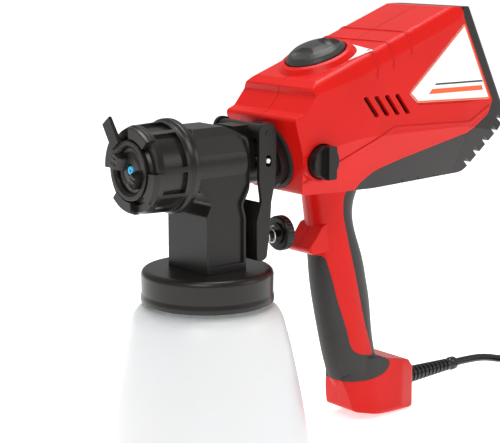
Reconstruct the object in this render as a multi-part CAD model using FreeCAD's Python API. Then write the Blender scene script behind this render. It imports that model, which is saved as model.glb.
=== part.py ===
import FreeCAD, Part
import math
import os

# Handheld electric HVLP paint spray gun.
# Frame: millimetres, +Z up, origin at the centre of the paint cup's flat base.
# The gun sprays towards -X, the handle and cord are at +X, and y = 0 is the plane of symmetry.

V = FreeCAD.Vector
EX = V(1, 0, 0)
EY = V(0, 1, 0)
EZ = V(0, 0, 1)

# ---- driving dimensions ----
LID_Z = 110.0            # height of the lid's lower edge, which sets the cup's height
LID_R = 45.0             # lid outer radius
LID_H = 22.0             # lid height
CUP_FOOT_R = 69.0        # widest radius of the cup, just above its base
CUP_WALL = 1.8
NOZZLE_Z = 203.5         # height of the spray axis
NOSE_X = -62.3           # front plane of the union nut's petals
FLANGE_X = -28.15        # rear face of the union nut
FLANGE_R = 31.1          # union nut's flange radius
NUT_R = 27.6             # union nut's body radius
TILT = math.radians(16)  # rise of the motor axis towards the rear
NECK = V(51.5, 0, 202.5) # centre of the neck joint between head and motor body
TOP_SLOPE = math.radians(19.7)
SHELL = 2.6              # housing wall
SKIN = 1.3               # thickness of the soft overmoulded grips
PIVOT = V(31.5, 0, 222.0)
ARM_IN = 22.3            # inner and outer half widths of the trigger yoke
ARM_OUT = 24.8
KNOB_Z = 147.0           # height of the flow adjusting stud
DIAL = V(95.7, 0, 268.6) # centre of the top dial's seat
DIAL_TILT = math.radians(21.2)
SIDE_KNOB = V(68.5, 0, 201.0)
CORD_R = 3.0
BOOT_X = 186.0           # rear face of the foot, where the cord's boot leaves it
BOOT_Z = 19.5
BOOT_L = 58.0
TUBE_X = -4.0            # the suction tube stands a little in front of the cup's axis
HORN_ANGLE = math.radians(60)    # the air cap's horns, from vertical towards +Y
LEVER_ANGLE = math.radians(36)   # the pattern lever, from vertical towards +Y
PETAL_SPAN = math.radians(45)
PIN_X = 32.6             # where the cross pin passes through the trigger's arms
SEAT_Y = 34.6            # depth of the side knob's round seat
CLAMP_X = 160.0          # the cord clamp stands on two posts in the foot
CLAMP_Y = 8.0
SEAM = 0.5               # depth and width of the line where the two shells meet
COIL = V(325, -39, 0)    # centre of the put-away coil of cord
COIL_R = 30.0            # radius of the coil's middle
COIL_TURNS = 4           # turns side by side, in each of two layers
CRUMB = 15.0             # solids under this many cubic millimetres are cutting waste

U = V(math.cos(TILT), 0, math.sin(TILT))   # motor axis, towards the rear
W = V(-math.sin(TILT), 0, math.cos(TILT))  # square to it, upwards
DIAL_UP = V(-math.sin(DIAL_TILT), 0, math.cos(DIAL_TILT))


# ---- helpers ----
def box(x0, x1, y0, y1, z0, z1):
    return Part.makeBox(x1 - x0, y1 - y0, z1 - z0, V(x0, y0, z0))


def rod(start, axis, radius, length):
    return Part.makeCylinder(radius, length, start, axis)


def ring(start, axis, outer, inner, length):
    return rod(start, axis, outer, length).cut(rod(start - axis * 1, axis, inner, length + 2))


def outline(points, place):
    """Closed wire through (a, b, radius) corners, rounded by tangent arcs. place maps (a, b) to space."""
    count = len(points)
    cuts = []
    for i, (a, b, radius) in enumerate(points):
        here = V(a, b, 0)
        before = V(*points[i - 1][:2], 0)
        after = V(*points[(i + 1) % count][:2], 0)
        to_before = (before - here).normalize()
        to_after = (after - here).normalize()
        half = to_before.getAngle(to_after) / 2
        if radius <= 0 or half > math.radians(89.5):
            cuts.append((here, None, here))
            continue
        reach = radius / math.tan(half)
        middle = (to_before + to_after).normalize()
        crown = here + middle * (radius / math.sin(half) - radius)
        cuts.append((here + to_before * reach, crown, here + to_after * reach))
    edges = []
    for i, (start, crown, end) in enumerate(cuts):
        if crown is not None:
            edges.append(Part.Arc(place(start), place(crown), place(end)).toShape())
        following = cuts[(i + 1) % count][0]
        if (following - end).Length > 1e-6:
            edges.append(Part.LineSegment(place(end), place(following)).toShape())
    return Part.Wire(edges)


def side_face(points, y=0.0):
    return Part.Face(outline(points, lambda p: V(p.x, y, p.y)))


def side_prism(points, y0, y1):
    return side_face(points, y0).extrude(V(0, y1 - y0, 0))


def plan_prism(points, z0, z1):
    return Part.Face(outline(points, lambda p: V(p.x, p.y, z0))).extrude(V(0, 0, z1 - z0))


def end_prism(points, x0, x1):
    return Part.Face(outline(points, lambda p: V(x0, p.x, p.y))).extrude(V(x1 - x0, 0, 0))


def turned_x(points, z=NOZZLE_Z):
    """Solid of revolution about the spray axis from (x, r, fillet) corners."""
    face = Part.Face(outline(points, lambda p: V(p.x, 0, z + p.y)))
    return face.revolve(V(0, 0, z), EX, 360)


def turned_z(points):
    """Solid of revolution about the cup's axis from (r, z, fillet) corners."""
    face = Part.Face(outline(points, lambda p: V(p.x, 0, p.y)))
    return face.revolve(V(0, 0, 0), EZ, 360)


def turned_about(origin, axis, across, points):
    """Solid of revolution from (along, r, fillet) corners about any axis."""
    face = Part.Face(outline(points, lambda p: origin + axis * p.x + across * p.y))
    return face.revolve(origin, axis, 360)


def mirrored(half):
    """Corners (a, b, radius) with their mirror images in b."""
    return half + [(a, -b, radius) for a, b, radius in reversed(half)]


def fused(shapes):
    return shapes[0].multiFuse(shapes[1:]).removeSplitter()


def save(name, shape):
    solids = [solid for solid in shape.Solids if solid.Volume > CRUMB]
    kept = solids[0] if len(solids) == 1 else Part.makeCompound(solids)
    if not kept.isValid() or not solids:
        raise ValueError(name + " is not a valid solid")
    kept.exportStep("parts/" + name + ".step")
    print(name, len(solids), round(sum(s.Volume for s in solids) / 1000, 2), "cm3")


# ---- paint cup, lid and what is between them ----
def cup_wall_curve(inset):
    """Height and radius of the cup's flared wall, as points from the foot up to the shoulder."""
    flare = [(9.0, CUP_FOOT_R), (27.0, 66.6), (54.5, 61.5), (82.0, 55.6), (94.0, 52.3)]
    curve = Part.BSplineCurve()
    curve.interpolate([V(radius - inset, 0, height) for height, radius in flare])
    return curve.toShape()


def cup_solid(inset):
    """Solid body of the cup, drawn in by the wall thickness for its inside."""
    foot_round = 9.0 - inset
    base = inset
    neck_r = 40.6 - inset
    top = LID_Z + 14.0 + (1.0 if inset else 0.0)
    shoulder_r = 6.5
    wall = cup_wall_curve(inset)
    corner = V(CUP_FOOT_R - inset - foot_round, 0, base)
    round_mid = V(CUP_FOOT_R - inset - foot_round * (1 - math.sin(math.pi / 4)), 0,
                  9.0 - foot_round * math.sin(math.pi / 4))
    foot = Part.Arc(corner, round_mid, V(CUP_FOOT_R - inset, 0, 9.0)).toShape()
    wall_end = V(52.3 - inset, 0, 94.0)
    shoulder_mid = V(48.6 - inset, 0, 102.6 - inset * 0.4)
    shoulder_end = V(neck_r + 0.6, 0, LID_Z - 2.4 - inset * 0.6)
    shoulder = Part.Arc(wall_end, shoulder_mid, shoulder_end).toShape()
    neck_foot = V(neck_r, 0, LID_Z - 1.0)
    edges = [Part.LineSegment(V(0, 0, base), corner).toShape(), foot, wall, shoulder,
             Part.LineSegment(shoulder_end, neck_foot).toShape(),
             Part.LineSegment(neck_foot, V(neck_r, 0, top)).toShape(),
             Part.LineSegment(V(neck_r, 0, top), V(0, 0, top)).toShape(),
             Part.LineSegment(V(0, 0, top), V(0, 0, base)).toShape()]
    return Part.Face(Part.Wire(edges)).revolve(V(0, 0, 0), EZ, 360)


def paint_cup():
    return cup_solid(0).cut(cup_solid(CUP_WALL))


def cup_lid():
    top = LID_Z + LID_H
    lid = turned_z([(0, LID_Z + 15.5, 0), (41.4, LID_Z + 15.5, 1), (41.4, LID_Z, 0.5), (LID_R, LID_Z, 0.8),
                    (LID_R, LID_Z + 3, 2), (LID_R - 0.6, LID_Z + 6, 2), (LID_R - 0.4, top, 4), (0, top, 0)])
    return lid.cut(rod(V(TUBE_X, 0, LID_Z), EZ, 4.6, 40)).cut(rod(V(12, 0, LID_Z), EZ, 2.0, 40))


def cup_gasket():
    return ring(V(0, 0, LID_Z + 14.1), EZ, 40.3, 37.0, 1.3)


def check_valve():
    """Rubber disc valve that lets pressure air into the cup and keeps paint out of the air way."""
    return ring(V(12, 0, LID_Z + 13.3), EZ, 5.0, 0.8, 2.2)


def suction_tube():
    """Stiff tube from the head down into the cup, its foot leaning towards the front."""
    knee = V(TUBE_X, 0, 62)
    foot = V(-34, 0, 12)
    lean = (foot - knee).normalize()
    top = LID_Z + LID_H + 30
    outer = fused([rod(knee, EZ, 4.5, top - knee.z), rod(knee, lean, 4.5, (foot - knee).Length),
                   Part.makeSphere(4.5, knee)])
    inner = fused([rod(knee, EZ, 3.0, top - knee.z + 1), rod(knee, lean, 3.0, (foot - knee).Length + 1),
                   Part.makeSphere(3.0, knee)])
    return outer.cut(inner)


# ---- spray head ----
def head_outline():
    """Side view of the head's cheeks: column, waist and the wider barrel frame above."""
    base = LID_Z + LID_H
    return [(-16.5, base, 0), (-16.5, 171, 3), (-12.6, 178.5, 3), (-20, 187, 3), (-28, 192, 1), (-28, 222, 1),
            (-22, 228, 1), (4.5, 228, 3), (17, 220, 4), (20.8, 211, 4), (20.8, 188.5, 3), (13.6, 176, 4),
            (16, 167, 4), (16, base, 0)]


PANEL_LIMIT = [(-40, 137, 0), (-40, 223, 0), (40, 223, 0), (40, 137, 0)]


def spray_head():
    """Barrel, column and neck, one moulding."""
    cheek = 21.3
    block = side_prism(head_outline(), -cheek, cheek)
    section = Part.Face(outline([(-13.5, 228, 1.5), (-cheek, 221.5, 1.5), (-cheek, 120, 0), (cheek, 120, 0),
                                 (cheek, 221.5, 1.5), (13.5, 228, 1.5)], lambda p: V(-40, p.x, p.y)))
    block = block.common(section.extrude(V(80, 0, 0)))
    plan = plan_prism([(-30, -cheek, 0), (16.5, -cheek, 3.5), (21, -cheek, 3.5), (21, cheek, 3.5), (-30, cheek, 0)],
                      100, 240)
    block = block.common(plan)
    panel = inset_face(side_face(head_outline()), 2.0).common(side_face(PANEL_LIMIT))
    for side in (-1, 1):
        recess = panel.extrude(V(0, side * 5.0, 0))
        recess.translate(V(0, side * (cheek - 1.8), 0))
        block = block.cut(recess)
    barrel = rod(V(-28, 0, NOZZLE_Z), EX, cheek - 0.4, 46)
    block = block.fuse(barrel)
    nose = turned_x([(-28, 0, 0), (-28, 24, 0), (-46, 24, 1), (-46, 9, 1), (-52, 9, 1), (-52, 0, 0)])
    spigot = rod(V(20, 0, NOZZLE_Z), EX, 18.5, 28)
    plug = rod(NECK - U * 6, U, 21.6, 22)
    spigot = spigot.cut(rod(NECK - U * 6, U, 40, 60))
    boss = rod(V(PIVOT.x, -22, PIVOT.z), EY, 5.8, 44)
    bracket = box(15, PIVOT.x, -9, 9, PIVOT.z - 5, PIVOT.z + 4.5)
    head = fused([block, nose, spigot, plug, boss, bracket])
    head = head.cut(rod(V(-60, 0, NOZZLE_Z), EX, 3.2, 100))
    head = head.cut(rod(V(-53, 0, NOZZLE_Z), EX, 6.1, 41))
    head = head.cut(rod(V(TUBE_X, 0, 120), EZ, 4.6, NOZZLE_Z - 120))
    air_way = rod(V(25, 0, NOZZLE_Z), EX, 15.5, 12).cut(rod(V(24, 0, NOZZLE_Z), EX, 9.0, 14))
    head = head.cut(rod(NECK - U * 3, U, 18.0, 30)).cut(air_way)
    for angle in (60, 120, 240, 300):
        lift = V(0, math.cos(math.radians(angle)), math.sin(math.radians(angle))) * 14.5
        head = head.cut(rod(V(-47, 0, NOZZLE_Z) + lift, EX, 3.0, 85))
    head = head.cut(rod(V(PIVOT.x, -30, PIVOT.z), EY, 1.6, 60))
    head = head.cut(rod(V(8, 0, KNOB_Z), EX, 2.55, 20))
    return head.cut(box(26.5, 41, -30, 30, NOZZLE_Z - 4.5, NOZZLE_Z + 4.5))


def fluid_nozzle():
    return turned_x([(-46, 3.0, 0), (-34, 3.0, 0), (-34, 6.0, 0.5), (-49, 6.0, 1), (-53, 5.0, 1), (-61.5, 2.8, 0.6),
                     (-61.5, 1.0, 0), (-56, 1.0, 0), (-49, 2.6, 0)])


def air_seal():
    return turned_x([(-53.5, 21.0, 0), (-51.5, 21.0, 0), (-51.5, 24.0, 0), (-53.5, 24.0, 0)])


def air_cap():
    """Cap with the round centre hole and two air horns that shape the fan of paint."""
    cap = turned_x([(-54, 8.0, 0), (-54, 23.6, 1), (-56.5, 23.6, 0.5), (-57.2, 19.5, 0.5), (-60.0, 17.5, 1),
                    (-60.0, 11, 1), (-60.8, 8, 0.5), (-61.0, 4.2, 0), (-59.2, 4.2, 0), (-58, 8.0, 0.5)])
    across = V(0, math.sin(HORN_ANGLE), math.cos(HORN_ANGLE))
    along = V(0, math.cos(HORN_ANGLE), -math.sin(HORN_ANGLE))
    centre = V(0, 0, NOZZLE_Z)
    for side in (-1, 1):
        profile = [(-59.5, 5.8, 0), (-62.0, 5.8, 0.8), (-68.0, 8.2, 0.8), (-68.0, 13.5, 1), (-59.5, 13.5, 0)]
        face = Part.Face(outline(profile, lambda p: centre + EX * p.x + across * (side * p.y) - along * 4.5))
        horn = face.extrude(along * 9.0)
        hole_start = centre + EX * -66.5 + across * (side * 15)
        inward = (across * -side - EX * 0.35).normalize()
        horn = horn.cut(rod(hole_start + along * 1.4, inward, 1.5, 12))
        horn = horn.cut(rod(hole_start - along * 2.4, inward, 0.8, 12))
        cap = cap.fuse(horn)
    return cap.removeSplitter()


def pattern_lever():
    """Thin ring round the air cap's front with the lever that turns the spray pattern."""
    plate = turned_x([(-60.05, 14.6, 0), (-60.05, 19.4, 0), (-63.2, 19.4, 0.6), (-63.2, 16.6, 0.4), (-61.6, 14.6, 0.4)])
    lean = V(0, math.sin(LEVER_ANGLE), math.cos(LEVER_ANGLE))
    side = V(0, math.cos(LEVER_ANGLE), -math.sin(LEVER_ANGLE))
    centre = V(0, 0, NOZZLE_Z)
    profile = [(-62.7, 18.2, 0), (-62.7, 37.6, 0.8), (-65.0, 37.6, 0.8), (-65.6, 18.6, 0.5), (-63.1, 18.2, 0)]
    face = Part.Face(outline(profile, lambda p: centre + EX * p.x + lean * p.y - side * 4.6))
    return plate.fuse(face.extrude(side * 9.2)).removeSplitter()


def union_nut():
    """Knurled nut with four raised petals at its mouth and framed windows round its skirt."""
    nut = turned_x([(FLANGE_X, 24.4, 0), (FLANGE_X, FLANGE_R, 1.2), (-32.5, FLANGE_R, 1.2), (-34.5, 29.4, 1),
                    (-55, 28.6, 0.8), (-58.6, 27.2, 0.6), (-58.6, 22.0, 0.5), (-56.8, 22.0, 0), (-56.8, 24.4, 0)])
    centre = V(0, 0, NOZZLE_Z)
    petal_ring = turned_x([(-55, 23.8, 0), (-55, 28.9, 0.5), (-59, 28.9, 0.5), (-60, 28.1, 0.4), (NOSE_X, NUT_R, 0.6),
                           (NOSE_X, 20.4, 0.5), (-58.5, 20.4, 0), (-56.9, 23.8, 0)])
    for quarter in range(4):
        middle = math.radians(69 + 90 * quarter)
        nut = nut.fuse(petal_ring.common(sector(centre, middle, PETAL_SPAN, -70, -50)))
    for quarter in range(4):
        for start, span in ((7.5, 49.0), (62.5, 28.5)):
            middle = math.radians(start + span / 2 + 90 * quarter)
            pocket = sector(centre, middle, math.radians(span), -54.5, -37.5)
            nut = nut.cut(pocket.cut(rod(V(-60, 0, NOZZLE_Z), EX, 26.6, 30)))
    return nut.removeSplitter()


def sector(centre, middle, span, x0, x1):
    """Wedge about the spray axis. Angles run from -Y towards +Z."""
    reach = 60.0

    def at(angle):
        return V(x0, centre.y - reach * math.cos(angle), centre.z + reach * math.sin(angle))
    start = V(x0, centre.y, centre.z)
    edges = [Part.LineSegment(start, at(middle - span / 2)).toShape(),
             Part.LineSegment(at(middle - span / 2), at(middle + span / 2)).toShape(),
             Part.LineSegment(at(middle + span / 2), start).toShape()]
    return Part.Face(Part.Wire(edges)).extrude(V(x1 - x0, 0, 0))


def needle():
    tip = Part.makeCone(0.3, 1.5, 11, V(-62, 0, NOZZLE_Z), EX)
    return tip.fuse(rod(V(-51, 0, NOZZLE_Z), EX, 1.5, PIN_X - 1.65 + 51)).removeSplitter()


def needle_packing():
    """Seal ring that the needle slides in, behind the paint way."""
    return ring(V(4, 0, NOZZLE_Z), EX, 3.15, 1.56, 6)


def needle_yoke():
    """Block on the needle's rear end that carries the cross pin."""
    block = box(29.2, 36, -6, 6, NOZZLE_Z - 3.8, NOZZLE_Z + 3.8)
    block = block.cut(rod(V(20, 0, NOZZLE_Z), EX, 1.5, PIN_X - 1.65 - 20))
    return block.cut(rod(V(PIN_X, -10, NOZZLE_Z), EY, 1.6, 20))


def needle_pin():
    return rod(V(PIN_X, -ARM_OUT + 0.2, NOZZLE_Z), EY, 1.6, 2 * ARM_OUT - 0.4)


# ---- trigger and flow control ----
def trigger():
    """Yoke that straddles the neck: two arms joined by a web below it."""
    arm = [(PIVOT.x - 7, PIVOT.z + 7, 6.8), (PIVOT.x + 7.6, PIVOT.z + 7, 6.8), (39.2, 205, 8), (38.6, 190, 8),
           (35.0, 176, 8), (34.0, 160, 8), (31.0, 137.0, 4), (22.6, 136.5, 3), (22.4, 164, 6), (26.6, 177, 6),
           (24.6, 190, 8)]
    arms = side_prism(arm, -ARM_OUT, ARM_OUT).cut(box(0, 60, -ARM_IN, ARM_IN, 120, 240))
    web = side_prism([(22.6, 137.0, 1), (25.2, 137.0, 1), (25.4, 163, 6), (28.6, 175.5, 1), (26.3, 176.5, 1),
                      (22.6, 164, 6)], -ARM_IN - 0.5, ARM_IN + 0.5)
    yoke = fused([arms, web])
    yoke = yoke.cut(rod(V(PIVOT.x, -40, PIVOT.z), EY, 1.56, 80))
    hole = side_prism([(PIN_X - 2.4, NOZZLE_Z - 4, 2.3), (PIN_X + 2.4, NOZZLE_Z - 4, 2.3),
                       (PIN_X + 2.4, NOZZLE_Z + 4, 2.3), (PIN_X - 2.4, NOZZLE_Z + 4, 2.3)], -40, 40)
    yoke = yoke.cut(hole)
    stud_hole = end_prism([(-3.4, KNOB_Z - 4.6, 3.3), (3.4, KNOB_Z - 4.6, 3.3), (3.4, KNOB_Z + 3.4, 3.3),
                           (-3.4, KNOB_Z + 3.4, 3.3)], 15, 45)
    return yoke.cut(stud_hole)


def trigger_pin():
    return rod(V(PIVOT.x, -ARM_OUT - 0.4, PIVOT.z), EY, 1.5, 2 * ARM_OUT + 0.8)


def flow_stud():
    return rod(V(9, 0, KNOB_Z), EX, 2.5, 61)


SPRING_R = 5.6
SPRING_WIRE = 0.6
SPRING_X0 = 26.2
SPRING_X1 = 58.6


def flow_spring():
    """Compression spring between the trigger's web and the flow knob's washer."""
    length = SPRING_X1 - SPRING_X0
    helix = Part.makeHelix(5.2, length, SPRING_R)
    start = V(SPRING_R, 0, 0)
    wire = Part.Wire(Part.makeCircle(SPRING_WIRE, start, EY))
    coil = Part.Wire(helix.Edges).makePipeShell([wire], True, True)
    coil.rotate(V(0, 0, 0), EY, 90)
    coil.translate(V(SPRING_X0, 0, KNOB_Z))
    return coil


def spring_washer():
    return ring(V(SPRING_X1 + 0.7, 0, KNOB_Z), EX, 7.5, 2.56, 1.2)


def flow_knob():
    """Round knob on the stud, fluted round its rim."""
    face = SPRING_X1 + 1.95
    knob = turned_about(V(face, 0, KNOB_Z), EX, EZ,
                        [(0, 2.56, 0), (0, 11.4, 1), (1.2, 12.3, 0.5), (6.6, 12.3, 1), (7.4, 10, 0.5), (7.4, 2.56, 0)])
    flutes = 28
    for i in range(flutes):
        turn = 2 * math.pi * i / flutes
        knob = knob.cut(rod(V(face + 1.4, 12.75 * math.cos(turn), KNOB_Z + 12.75 * math.sin(turn)), EX, 0.8, 8))
    return knob


# ---- motor body casing ----
BODY_SIDE = [(45.2, 231.0, 3), (53.0, 233.8, 3), (62.8, 245.0, 1), (61.8, 249.6, 1.5), (68, 254.6, 4),
             (78, 258.1, 20), (193.5, 299.5, 12), (217, 299.5, 8), (251.5, 234.5, 8), (249, 213, 8), (239.5, 203, 8),
             (219, 177.5, 12), (128, 174.6, 60), (60.8, 177.0, 5)]
BODY_PLAN = mirrored([(36, -36.0, 5), (62, -37.6, 30), (105, -40, 60), (205, -40, 60), (256, -36.5, 8)])
BODY_TOP = [(-33.5, 0, 7), (-41.5, -13, 20), (-41.5, -190, 0), (41.5, -190, 0), (41.5, -13, 20), (33.5, 0, 7)]
BODY_BELOW = [(-41.5, 330, 0), (-41.5, 218, 20), (-31, 190, 20), (-24, 172, 6), (24, 172, 6), (31, 190, 20),
              (41.5, 218, 20), (41.5, 330, 0)]
BODY_REAR = mirrored([(-260, -60, 0), (-24, -40.5, 30), (0, -33, 10)])   # section square to the slanting rear
HANDLE_STATIONS = [(192, 81, 146, 21), (172, 87.5, 131, 17.5), (152, 91, 126.5, 16.8), (131, 93.5, 133.5, 17.2),
                   (108, 95.8, 140.5, 17.8), (79, 101.5, 146.0, 17.6), (55, 107.5, 149.5, 17.4), (38, 112.5, 155, 17),
                   (26, 117.5, 159, 16.5)]
FOOT_PLAN = mirrored([(115.8, -12.5, 10), (138, -18.6, 40), (168, -18.6, 20), (187, -13, 8)])
FOOT_END = [(-18.6, 0, 6), (18.6, 0, 6), (18.6, 80, 0), (-18.6, 80, 0)]
FOOT_SIDE = [(115.8, 33, 3), (122.5, 8.0, 5), (146, 2.6, 30), (173, 0.0, 20), (184.5, 1.2, 4), (187.5, 27, 5),
             (176, 39, 8), (150, 45, 10), (130, 48, 0)]


REAR_LOW = (251.5, 234.5)   # x and z of the slanting rear face's lower and upper ends
REAR_HIGH = (217, 299.5)
REAR_UP = V(REAR_HIGH[0] - REAR_LOW[0], 0, REAR_HIGH[1] - REAR_LOW[1]).normalize()
REAR_BACK = V(REAR_UP.z, 0, -REAR_UP.x)


def inset_face(face, depth):
    return face.makeOffset2D(-depth) if depth else face


def body_solid(depth):
    """Upper motor body, drawn in by depth all round."""
    side = inset_face(side_face(BODY_SIDE, -60), depth).extrude(V(0, 120, 0))
    plan = inset_face(Part.Face(outline(BODY_PLAN, lambda p: V(p.x, p.y, 150))), depth).extrude(V(0, 0, 170))
    slope = V(math.cos(TOP_SLOPE), 0, math.sin(TOP_SLOPE))
    up = V(-math.sin(TOP_SLOPE), 0, math.cos(TOP_SLOPE))
    start = V(78, 0, 258.1) - slope * 80 + up * 0.01
    top = inset_face(Part.Face(outline(BODY_TOP, lambda p: start + EY * p.x + up * p.y)), depth)
    below = inset_face(Part.Face(outline(BODY_BELOW, lambda p: V(20, p.x, p.y))), depth)
    body = side.common(plan)
    body = body.common(top.extrude(slope * 300))
    start = V(REAR_LOW[0], 0, REAR_LOW[1]) - REAR_UP * 120
    wrap = inset_face(Part.Face(outline(BODY_REAR, lambda p: start + REAR_BACK * p.x + EY * p.y)), depth)
    body = body.common(wrap.extrude(REAR_UP * 300))
    return body.common(below.extrude(V(260, 0, 0)))


def handle_solid(depth):
    rings = []
    for height, front, rear, half in HANDLE_STATIONS:
        centre = V((front + rear) / 2, 0, height)
        shape = Part.Ellipse(centre, (rear - front) / 2 - depth, half - depth)
        rings.append(Part.Wire(shape.toShape()))
    return Part.makeLoft(rings, True, False)


def foot_solid(depth):
    plan = inset_face(Part.Face(outline(FOOT_PLAN, lambda p: V(p.x, p.y, -10))), depth).extrude(V(0, 0, 80))
    side = inset_face(side_face(FOOT_SIDE, -40), depth).extrude(V(0, 80, 0))
    end = inset_face(Part.Face(outline(FOOT_END, lambda p: V(100, p.x, p.y))), depth).extrude(V(100, 0, 0))
    return plan.common(side).common(end)


def casing(depth):
    return fused([body_solid(depth), handle_solid(depth), foot_solid(depth)])


def guard_lip():
    """Lip in front of the handle, above the grip, that keeps the hand off the trigger."""
    lip = side_prism([(102, 152, 0), (93, 150, 3), (87.0, 142, 8), (79.5, 134.0, 2.5), (84, 130.2, 2), (102, 131, 0)],
                     -12, 12)
    plan = plan_prism(mirrored([(78, -11.5, 9), (101, -16, 0)]), 120, 170)
    return lip.common(plan)


REAR_REGION = [(198, 320, 0), (204.5, 291, 0), (236.5, 231, 4), (232, 221, 4), (210, 208.5, 0), (206, 160, 0),
               (290, 160, 0), (290, 320, 0)]
REAR_GRIP_REGION = [(141, 46, 0), (137.5, 57, 3), (130.5, 73, 30), (125, 92, 60), (114.7, 130.5, 60), (107.8, 157, 20),
                    (107.5, 169, 12), (113, 180, 10), (124, 188, 20), (147, 194.5, 60), (210, 208.5, 0),
                    (300, 200, 0), (300, 46, 0)]
FRONT_GRIP_REGION = [(70, 127.5, 0), (97, 127.5, 3), (99, 121, 6), (106, 95, 60), (114, 72, 60), (119.5, 53, 14),
                     (146, 47.5, 1), (157, 41, 4), (150, 33.5, 14), (134, 30.5, 60), (70, 33.5, 0)]
SCREW_SPOTS = [(68, 246), (80, 178.5), (141, 184.5), (128, 267), (195, 287), (196, 186), (112, 112), (130, 22),
               (170, 8.5)]
SCREW_R = 1.75
BOSS_R = 4.6


def grip_skin(region, outer, middle):
    """Soft skin let into the casing over one region of its side view."""
    return outer.cut(middle).common(side_prism(region, -60, 60))


CREASE = [(56.5, 184.0), (134.0, 218.6), (210.6, 216.0), (232.5, 226.0)]
CREASE_W = 2.4
RIDGE = 0.55             # how far the ridges stand out of the casing
GILLS = [(117.6, 252.6), (132.7, 258.5), (150.0, 268.0)]   # x and lower end of the ribs over the top edges


def casing_ridges():
    """Raised crease along both sides, and three ribs across the top and down the sides."""
    proud = body_solid(-RIDGE)
    half_w = CREASE_W / 2
    above = [(x, z + half_w, 0) for x, z in CREASE]
    below = [(x + 0.5, z - half_w, 0) for x, z in reversed(CREASE)]
    strips = [side_prism(above + below, -60, -30), side_prism(above + below, 30, 60)]
    for x, low in GILLS:
        strips.append(side_prism([(x - 0.9, low, 0.4), (x + 0.9, low + 1.5, 0.4), (x + 0.9, 330, 0), (x - 0.9, 330, 0)],
                                 -60, 60))
    return [proud.common(strip) for strip in strips]


def handle_notches():
    """Finger notches down the back of the handle and under the casing's rear."""
    back = [V(130.8, 0, 137.5), V(148.6, 0, 62)]
    notches = []
    count = 7
    for i in range(count):
        spot = back[0] + (back[1] - back[0]) * (i / (count - 1))
        notches.append(rod(spot + V(1.1, -30, 0), EY, 1.5, 60))
    for x in (156, 172, 188):
        notches.append(box(x - 0.6, x + 0.6, -26.5, -16, 172, 184))
        notches.append(box(x - 0.6, x + 0.6, 16, 26.5, 172, 184))
    return notches


def neck_bore():
    return rod(NECK - U * 20, U, 22.4, 36)


def dial_boss():
    """Raised round seat for the top dial."""
    points = [(-16, 0, 0), (-16, 30.5, 0), (-5, 29.0, 2), (0.0, 25.5, 1.2), (1.2, 22.6, 0.6), (-1.5, 21.8, 0), (-1.5, 0, 0)]
    return turned_about(DIAL, DIAL_UP, EY, points)


VENT_X = (103, 113, 123, 133)


def side_vents():
    """Four slanting air slots in each side of the casing."""
    slots = []
    for x in VENT_X:
        corners = [(x, 242, 1), (x + 4.6, 242, 1), (x + 16.6, 227.5, 1), (x + 12, 227.5, 1)]
        slots.append(side_prism(corners, -60, -34))
        slots.append(side_prism(corners, 34, 60))
    return Part.makeCompound(slots)


PLATE = [(148.5, 241.5, 1.5), (203.5, 288.0, 1.5), (233.0, 231.8, 1.5), (157, 234.2, 1.5)]


def plate_prism(inner, outer, grow):
    return [inset_face(side_face(PLATE, y0), -grow).extrude(V(0, y1 - y0, 0))
            for y0, y1 in ((-outer, -inner), (inner, outer))]


PLATE_FACE = 39.0        # outer face of the name plates, a little inside the casing's sides


def plate_bevels():
    """Slanting edges of the pockets that the name plates lie in."""
    bevels = []
    for side in (-1, 1):
        floor = inset_face(side_face(PLATE, side * (PLATE_FACE - 0.3)), -0.15).OuterWire
        mouth = inset_face(side_face(PLATE, side * 41.5), -3.4).OuterWire
        bevels.append(Part.makeLoft([floor, mouth], True))
    return bevels


def casing_parts():
    """Left and right shells, soft grips and rear cover, all cut from one hollow casing."""
    outer = casing(0).fuse(guard_lip()).removeSplitter()
    middle = casing(SKIN)
    inner = casing(SHELL + 0.8)
    shell = outer.cut(inner)
    shell = shell.fuse(dial_boss().cut(inner.copy()).common(box(50, 150, -40, 40, 240, 300)))
    bosses = [rod(V(x, -45, z), EY, BOSS_R, 90).common(outer) for x, z in SCREW_SPOTS]
    knob_boss = rod(V(SIDE_KNOB.x, -36.6, SIDE_KNOB.z), EY, 14.0, 12).cut(inner)
    clamp_posts = [rod(V(CLAMP_X, y, 3), EZ, 3.2, 20.0) for y in (-CLAMP_Y, CLAMP_Y)]
    ridges = [ridge.cut(inner) for ridge in casing_ridges()]
    shell = shell.fuse(bosses + [knob_boss] + clamp_posts + ridges)
    rear_region = side_prism(REAR_REGION, -60, 60)
    rear = outer.cut(casing(SHELL)).common(rear_region)
    shell = shell.cut(rear_region)
    rear_grip = grip_skin(REAR_GRIP_REGION, outer, middle).cut(rear_region)
    rear_grip = rear_grip.cut(side_prism(FRONT_GRIP_REGION, -60, 60))
    front_grip = grip_skin(FRONT_GRIP_REGION, outer, middle)
    shell = shell.cut([rear_grip, front_grip])
    notch_floor = casing(SKIN * 0.6)
    rear_grip = rear_grip.cut([notch.cut(notch_floor) for notch in handle_notches()])
    shell = shell.cut([neck_bore(), dial_hole(), side_knob_hole(), side_vents(), boot_hole()])
    shell = shell.cut(plate_prism(PLATE_FACE - 1.0, 60, 0.15) + plate_bevels())
    shell = shell.cut([top_plate(), rod(at_axis(0.2), U, 24.7, 1.8)])
    shell = shell.cut(outer.cut(casing(SEAM)).common(box(40, 260, -SEAM / 2, SEAM / 2, 100, 320)))
    for y in (-CLAMP_Y, CLAMP_Y):
        shell = shell.cut(rod(V(CLAMP_X, y, 15.5), EZ, 1.6, 20))
    for x, z in SCREW_SPOTS:
        shell = shell.cut(rod(V(x, -13.5, z), EY, SCREW_R + 0.1, 70))
        shell = shell.cut(rod(V(x, 9, z), EY, 3.7, 60))
    return shell, rear_grip, front_grip, rear


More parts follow.
